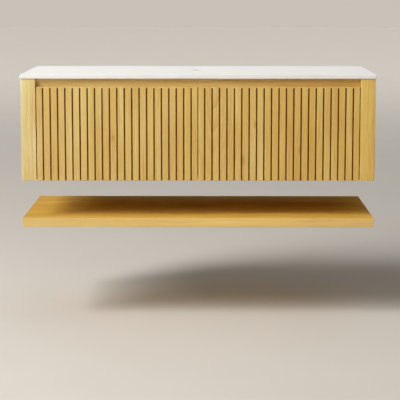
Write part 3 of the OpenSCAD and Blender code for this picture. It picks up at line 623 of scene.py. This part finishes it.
# %% Zinc-plated steel and die-cast zinc
def metal(name, light, dark, smooth, rough, patch_mm, relief_mm):
    """A bare metal with a light and a dark tone, smooth and rough, in patches of patch_mm."""
    material, tree = new_material(name)
    place = add_node(tree, "ShaderNodeTexCoord").outputs["Object"]
    patches = add_node(tree, "ShaderNodeTexNoise",
                       {"Vector": place, "Scale": 1 / (patch_mm * MM), "Detail": 5.0})
    even = add_node(tree, "ShaderNodeMapRange",
                    {"Value": patches.outputs["Fac"], "From Min": 0.3, "From Max": 0.7})
    colour = add_node(tree, "ShaderNodeMix", {"Factor": even, "A": linear(dark),
                                              "B": linear(light)}, data_type="RGBA")
    gloss = add_node(tree, "ShaderNodeMapRange",
                     {"Value": patches.outputs["Fac"], "From Min": 0.3, "From Max": 0.7,
                      "To Min": smooth, "To Max": rough})
    bump = add_node(tree, "ShaderNodeBump", {"Height": patches.outputs["Fac"], "Strength": 0.4,
                                             "Distance": relief_mm * MM})
    bare = add_node(tree, "ShaderNodeBsdfPrincipled",
                    {"Base Color": colour, "Metallic": 1.0, "Roughness": gloss, "Normal": bump})
    add_node(tree, "ShaderNodeOutputMaterial", {"Surface": bare})
    return material


# Bright zinc plating on rolled sheet: silvery with a cool cast, and a soft, even gloss.
plated_steel = metal("zinc_plated_steel", light="D5D8DA", dark="B9BFC4",
                     smooth=0.26, rough=0.40, patch_mm=14, relief_mm=0.02)
# Die-cast zinc straight from the mould: greyer, dull and slightly pebbled.
cast_zinc = metal("die_cast_zinc", light="B4B6B8", dark="9A9CA0",
                  smooth=0.45, rough=0.58, patch_mm=3, relief_mm=0.06)
print("metals:", plated_steel.name, cast_zinc.name)

# %% [markdown]
# The smallest pieces are plastic clips, rubber buffers and beech dowels. Plastic and rubber carry
# the fine texture of the mould that they came from. A dowel is turned from beech and left raw,
# because glue holds on bare wood only.

# %% Moulded plastic, rubber and raw beech
def moulded(name, light, dark, roughness, grain_mm, relief_mm):
    """A moulded part with the fine texture of its mould."""
    material, tree = new_material(name)
    place = add_node(tree, "ShaderNodeTexCoord").outputs["Object"]
    grain = add_node(tree, "ShaderNodeTexNoise",
                     {"Vector": place, "Scale": 1 / (grain_mm * MM), "Detail": 3.0})
    colour = add_node(tree, "ShaderNodeMix", {"Factor": grain.outputs["Fac"], "A": linear(dark),
                                              "B": linear(light)}, data_type="RGBA")
    bump = add_node(tree, "ShaderNodeBump", {"Height": grain.outputs["Fac"], "Strength": 0.5,
                                             "Distance": relief_mm * MM})
    textured = add_node(tree, "ShaderNodeBsdfPrincipled",
                        {"Base Color": colour, "Roughness": roughness, "Normal": bump})
    add_node(tree, "ShaderNodeOutputMaterial", {"Surface": textured})
    return material


BEECH_FLECK_MM = 1.2


def beech():
    """Turned beech, left raw: matt and pale pinkish brown, with small darker flecks."""
    material, tree = new_material("raw_turned_beech")
    place = add_node(tree, "ShaderNodeTexCoord").outputs["Object"]
    flecks = add_node(tree, "ShaderNodeTexNoise",
                      {"Vector": place, "Scale": 1 / (BEECH_FLECK_MM * MM), "Detail": 2.0})
    tone = add_node(tree, "ShaderNodeMapRange",
                    {"Value": flecks.outputs["Fac"], "From Min": 0.45, "From Max": 0.7})
    colour = add_node(tree, "ShaderNodeMix", {"Factor": tone, "A": linear("DDBE95"),
                                              "B": linear("B98F63")}, data_type="RGBA")
    raw_wood = add_node(tree, "ShaderNodeBsdfPrincipled", {"Base Color": colour, "Roughness": 0.7})
    add_node(tree, "ShaderNodeOutputMaterial", {"Surface": raw_wood})
    return material


# Nylon straight from the mould is satin. Clear rubber is smoother and shines a little more.
grey_plastic = moulded("moulded_grey_nylon", light="74777A", dark="66696C",
                       roughness=0.5, grain_mm=0.6, relief_mm=0.03)
soft_rubber = moulded("soft_clear_rubber", light="C9C9C4", dark="BDBDB8",
                      roughness=0.35, grain_mm=0.8, relief_mm=0.02)
raw_beech = beech()
print("small parts:", grey_plastic.name, soft_rubber.name, raw_beech.name)

# %% [markdown]
# Now each piece of the construction model gets its finish. The record says which kind of stuff
# each piece is made of, so most go by that. Oak needs a second look, because the grain has a
# direction: it stands on the side panels and drawer fronts, and lies along the other boards.

# %% Give every construction piece its finish
def cover(node, material):
    """Puts one material on a whole construction piece."""
    slots = nodes[node].data.materials
    slots.clear()
    slots.append(material)


stuff = {part["node"]: part["material_slot"] for part in frame["record"]["subparts"]}
by_stuff = {"worktop": white_top, "steel": plated_steel, "zinc": cast_zinc,
            "clip": grey_plastic, "buffer": soft_rubber, "beech": raw_beech}
for node, slot in stuff.items():
    if slot == "oak":
        ribbed = node.startswith("drawer_")
        upright = node.startswith("side_panel")
        lying = oak_shelf if node == "shelf_board" else oak_level
        cover(node, oak_ribbed if ribbed else oak_upright if upright else lying)
    elif slot == "plywood":
        cover(node, birch_plywood("birch_plywood_" + node, node))
    else:
        cover(node, by_stuff[slot])
print("finished", len(stuff), "pieces")

# %% [markdown]
# Some pieces earn a finer shape than the construction model gives them. Each is modelled as by
# hand, with Blender's own operators. An operator acts on all that is selected, so the helpers
# select one piece and nothing else first. A finished piece is smoothed, gets its material, moves
# with the same group as the construction piece it stands for, and takes that piece's place.

# %% Helpers for modelling a piece
SMOOTH_ANGLE = math.radians(35)
body_of = {node: body for body, members in frame["record"]["behaviour"]["bodies"].items()
           for node in members}


def select_only(piece):
    """Makes one object the only selected one, and the active one."""
    bpy.ops.object.select_all(action="DESELECT")
    piece.select_set(True)
    bpy.context.view_layer.objects.active = piece


def start_edit(piece, everything=True):
    """Opens an object for editing, with everything selected or the selection left as it was."""
    select_only(piece)
    bpy.ops.object.mode_set(mode="EDIT")
    bpy.ops.mesh.select_mode(type="EDGE")
    if everything:
        bpy.ops.mesh.select_all(action="SELECT")


def cut_away(piece, cutter):
    """Removes the cutter's form from a piece, and then the cutter itself."""
    select_only(piece)
    modifier = piece.modifiers.new("cut", "BOOLEAN")
    modifier.operation = "DIFFERENCE"
    modifier.object = cutter
    bpy.ops.object.modifier_apply(modifier=modifier.name)
    bpy.data.objects.remove(cutter)


def finish_piece(piece, name, node, material):
    """Smooths a piece, gives it its finish, and lets it stand for a construction node."""
    piece.name = name
    select_only(piece)
    bpy.ops.object.shade_smooth_by_angle(angle=SMOOTH_ANGLE)
    # Large flat faces rule the shading, so that only the narrow rounded ones look round.
    modifier = piece.modifiers.new("flat_faces", "WEIGHTED_NORMAL")
    modifier.keep_sharp = True
    bpy.ops.object.modifier_apply(modifier=modifier.name)
    piece.data.materials.clear()
    piece.data.materials.append(material)
    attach(piece, body_of[node])
    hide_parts(node)
    print(piece.name, "has", len(piece.data.polygons), "faces")


print("edges are smoothed where they bend less than", round(math.degrees(SMOOTH_ANGLE)), "degrees")

# %% [markdown]
# The first of these pieces is the worktop. Solid surface is sawn from a sheet, and its sharp
# edges are then rounded with a router, also round the waste hole. A rounded edge shows as a thin
# line of light, which the flat chamfer of the construction model can't give.
# In Blender the sheet starts as a cube of the right size. Bevelling rounds it, a cylinder cuts
# the hole, and a second, smaller bevel eases the hole's rim.

# %% The worktop with its rounded edges
EDGE_ROUND = 1.6 * MM
HOLE_ROUND = 0.8 * MM
HOLE_SIDES = 72
# An edge whose ends are nearer to the hole's middle than this share of its radius is on the rim.
RIM_SHARE = 1.01

hole = next(m for m in frame["record"]["mounts"] if m["name"] == "waste_hole")
hole_place = Vector(hole["pos_m"])
hole_radius = hole["dims"]["r_mm"] * MM

low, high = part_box("worktop")
bpy.ops.object.select_all(action="DESELECT")
bpy.ops.mesh.primitive_cube_add(size=1.0)
slab = bpy.context.object
start_edit(slab)
bpy.ops.transform.resize(value=high - low)
bpy.ops.transform.translate(value=(low + high) / 2)
bpy.ops.mesh.bevel(offset=EDGE_ROUND, segments=4)
bpy.ops.object.mode_set(mode="OBJECT")

# The cutter stands out of the sheet on both sides.
bpy.ops.mesh.primitive_cylinder_add(vertices=HOLE_SIDES, radius=hole_radius,
                                    depth=4 * (high.z - low.z), location=hole_place)
cut_away(slab, bpy.context.object)
# The edges of the hole's two rims are selected, and no others.
start_edit(slab, everything=False)
bpy.ops.mesh.select_all(action="DESELECT")
bpy.ops.object.mode_set(mode="OBJECT")
for edge in slab.data.edges:
    ends = [slab.data.vertices[i].co for i in edge.vertices]
    from_hole = [math.hypot(end.x - hole_place.x, end.y - hole_place.y) for end in ends]
    edge.select = max(from_hole) < hole_radius * RIM_SHARE and ends[0].z == ends[1].z
start_edit(slab, everything=False)
bpy.ops.mesh.bevel(offset=HOLE_ROUND, segments=3)
bpy.ops.object.mode_set(mode="OBJECT")
finish_piece(slab, "worktop_rounded", "worktop", white_top)

# %% [markdown]
# Screws and rubber buffers are round everywhere, as if turned on a lathe. Spinning an outline
# would make them, but extruding is simpler: a circle is extruded from ring to ring and scaled to
# each ring's radius. For a screw the rings go in and out like a thread, and then out to the head.
# Two flat, blunt pyramids, narrow end down, then cut the cross for the driver.

# %% A cross-headed screw
# All of these are in mm. The first three are radii.
POINT_TIP = 0.25
THREAD_ROOT = 1.45
THREAD_CREST = 2.0
THREAD_PITCH = 1.8
POINT_LONG = 2.4
SHOULDER_RISE = 0.5
HEAD_TALL = 2.5
WING_REACH = 2.3
WING_TIP = 0.4
WING_DEEP = 2.0
WING_DROP = 0.7
# The width of a wing of the cross, as a share of its reach.
WING_FLAT = 0.24
# Height above the head's underside and radius, both as a share of the whole head.
HEAD_RINGS = [(0.0, 1.0), (0.36, 1.0), (0.68, 0.88), (0.88, 0.66), (1.0, 0.32)]
TURNED_SIDES = 24


def turned(rings):
    """Extrudes a circle along +Z from ring to ring. A ring is a height and a radius in mm."""
    bpy.ops.object.select_all(action="DESELECT")
    bpy.ops.mesh.primitive_circle_add(vertices=TURNED_SIDES, radius=rings[0][1] * MM,
                                      fill_type="NGON")
    piece = bpy.context.object
    start_edit(piece)
    for (height, radius), (next_height, next_radius) in zip(rings, rings[1:]):
        rise = (0, 0, (next_height - height) * MM)
        bpy.ops.mesh.extrude_region_move(TRANSFORM_OT_translate={"value": rise})
        bpy.ops.transform.resize(value=(next_radius / radius, next_radius / radius, 1))
    bpy.ops.mesh.select_all(action="SELECT")
    bpy.ops.mesh.normals_make_consistent(inside=False)
    bpy.ops.object.mode_set(mode="OBJECT")
    return piece


def cross_screw(length, head_radius):
    """A pan-head screw of this length in mm, point at the origin, head toward +Z."""
    neck = length - HEAD_TALL
    turns = int((neck - POINT_LONG - THREAD_PITCH) / THREAD_PITCH)
    rings = [(0.0, POINT_TIP), (POINT_LONG, THREAD_ROOT)]
    for turn in range(turns):
        start = POINT_LONG + turn * THREAD_PITCH
        rings += [(start + 0.5 * THREAD_PITCH, THREAD_CREST), (start + THREAD_PITCH, THREAD_ROOT)]
    rings += [(rings[-1][0] + SHOULDER_RISE, THREAD_CREST), (neck, THREAD_CREST)]
    rings += [(neck + share * HEAD_TALL, width * head_radius) for share, width in HEAD_RINGS]
    screw = turned(rings)
    for turn in (0, 90):
        bpy.ops.mesh.primitive_cone_add(vertices=4, radius1=WING_TIP * MM,
                                        radius2=WING_REACH * MM, depth=WING_DEEP * MM,
                                        location=(0, 0, (length - WING_DROP) * MM),
                                        rotation=(0, 0, math.radians(turn)),
                                        scale=(1, WING_FLAT, 1))
        cut_away(screw, bpy.context.object)
    return screw


print("a screw's thread has a pitch of", THREAD_PITCH, "mm and", TURNED_SIDES, "sides")

# %% [markdown]
# The places come from the construction model, which keeps every screw in its hole. One of its
# pieces may hold many screws in one mesh. So a copy of it is taken apart into loose solids, and
# the longest side of each solid gives a screw's middle line.

# %% Where the screws and buffers are
# Points closer than this are one point.
WELD = 0.001 * MM


def solids_of(node):
    """The points of every separate solid in a construction node, from a copy that is taken apart."""
    copy = nodes[node].copy()
    copy.data = copy.data.copy()
    bpy.context.scene.collection.objects.link(copy)
    start_edit(copy)
    bpy.ops.mesh.remove_doubles(threshold=WELD)
    bpy.ops.mesh.separate(type="LOOSE")
    bpy.ops.object.mode_set(mode="OBJECT")
    loose = list(bpy.context.selected_objects)
    found = [[v.co.copy() for v in part.data.vertices] for part in loose]
    for part in loose:
        bpy.data.objects.remove(part)
    return found


def middle_line(points, pick):
    """Both ends of a solid's middle line, its axis and radius. Pick chooses the axis by size."""
    lows = Vector([min(p[i] for p in points) for i in range(3)])
    highs = Vector([max(p[i] for p in points) for i in range(3)])
    axis = pick(range(3), key=lambda i: highs[i] - lows[i])
    middle = (lows + highs) / 2
    ends = [middle.copy(), middle.copy()]
    ends[0][axis], ends[1][axis] = lows[axis], highs[axis]
    radius = max((highs - lows)[i] for i in range(3) if i != axis) / 2
    return ends, axis, radius


print("helpers for places:", solids_of.__name__, "and", middle_line.__name__)

# %% [markdown]
# One screw of each length is made, and its copies go to their places. A screw's head is at the
# end where the wide points of its solid are. The copies of one set are joined, because together
# they stand for one construction piece.

# %% Set the screws
# A point this share of the head's radius from the middle line belongs to the head.
HEAD_SHARE = 0.8


def spread(pattern, places):
    """Copies a piece to each place with its own mesh, joins the copies and drops the pattern."""
    copies = []
    for base, top in places:
        copy = pattern.copy()
        copy.data = pattern.data.copy()
        turn = (top - base).to_track_quat("Z", "Y").to_matrix().to_4x4()
        copy.data.transform(Matrix.Translation(base) @ turn)
        bpy.context.scene.collection.objects.link(copy)
        copies.append(copy)
    bpy.data.objects.remove(pattern)
    select_only(copies[0])
    for copy in copies:
        copy.select_set(True)
    if len(copies) > 1:
        bpy.ops.object.join()
    return copies[0]


for node in ("runner_screws", "hanger_fixing_screws", "drawer_left_front_screws",
             "drawer_right_front_screws"):
    places = []
    for points in solids_of(node):
        (first, last), axis, head_radius = middle_line(points, max)
        wide = [p[axis] for p in points if (p - first).cross(last - first).length
                > HEAD_SHARE * head_radius * (last - first).length]
        head_is_first = sum(wide) / len(wide) < (first[axis] + last[axis]) / 2
        places.append((last, first) if head_is_first else (first, last))
    long_mm = (places[0][1] - places[0][0]).length / MM
    screws = spread(cross_screw(long_mm, head_radius / MM), places)
    finish_piece(screws, node + "_cross_headed", node, plated_steel)

# %% [markdown]
# A rubber buffer is a small drop that is stuck on the cabinet's front edge, and the drawer front
# closes softly on its dome. It is made as the screws are, from a few rings. Its middle line runs
# along its shortest side and starts at the rear, where it is stuck on.

# %% Domed buffers
# Height above the foot and radius, both as a share of the whole buffer.
BUFFER_RINGS = [(0.0, 1.0), (0.45, 1.0), (0.75, 0.90), (0.93, 0.66), (1.0, 0.30)]

places = []
for points in solids_of("front_buffers"):
    (first, last), axis, buffer_radius = middle_line(points, min)
    places.append((last, first))
buffer_tall = (places[0][1] - places[0][0]).length / MM
dome = turned([(share * buffer_tall, width * buffer_radius / MM) for share, width in BUFFER_RINGS])
finish_piece(spread(dome, places), "front_buffers_domed", "front_buffers", soft_rubber)
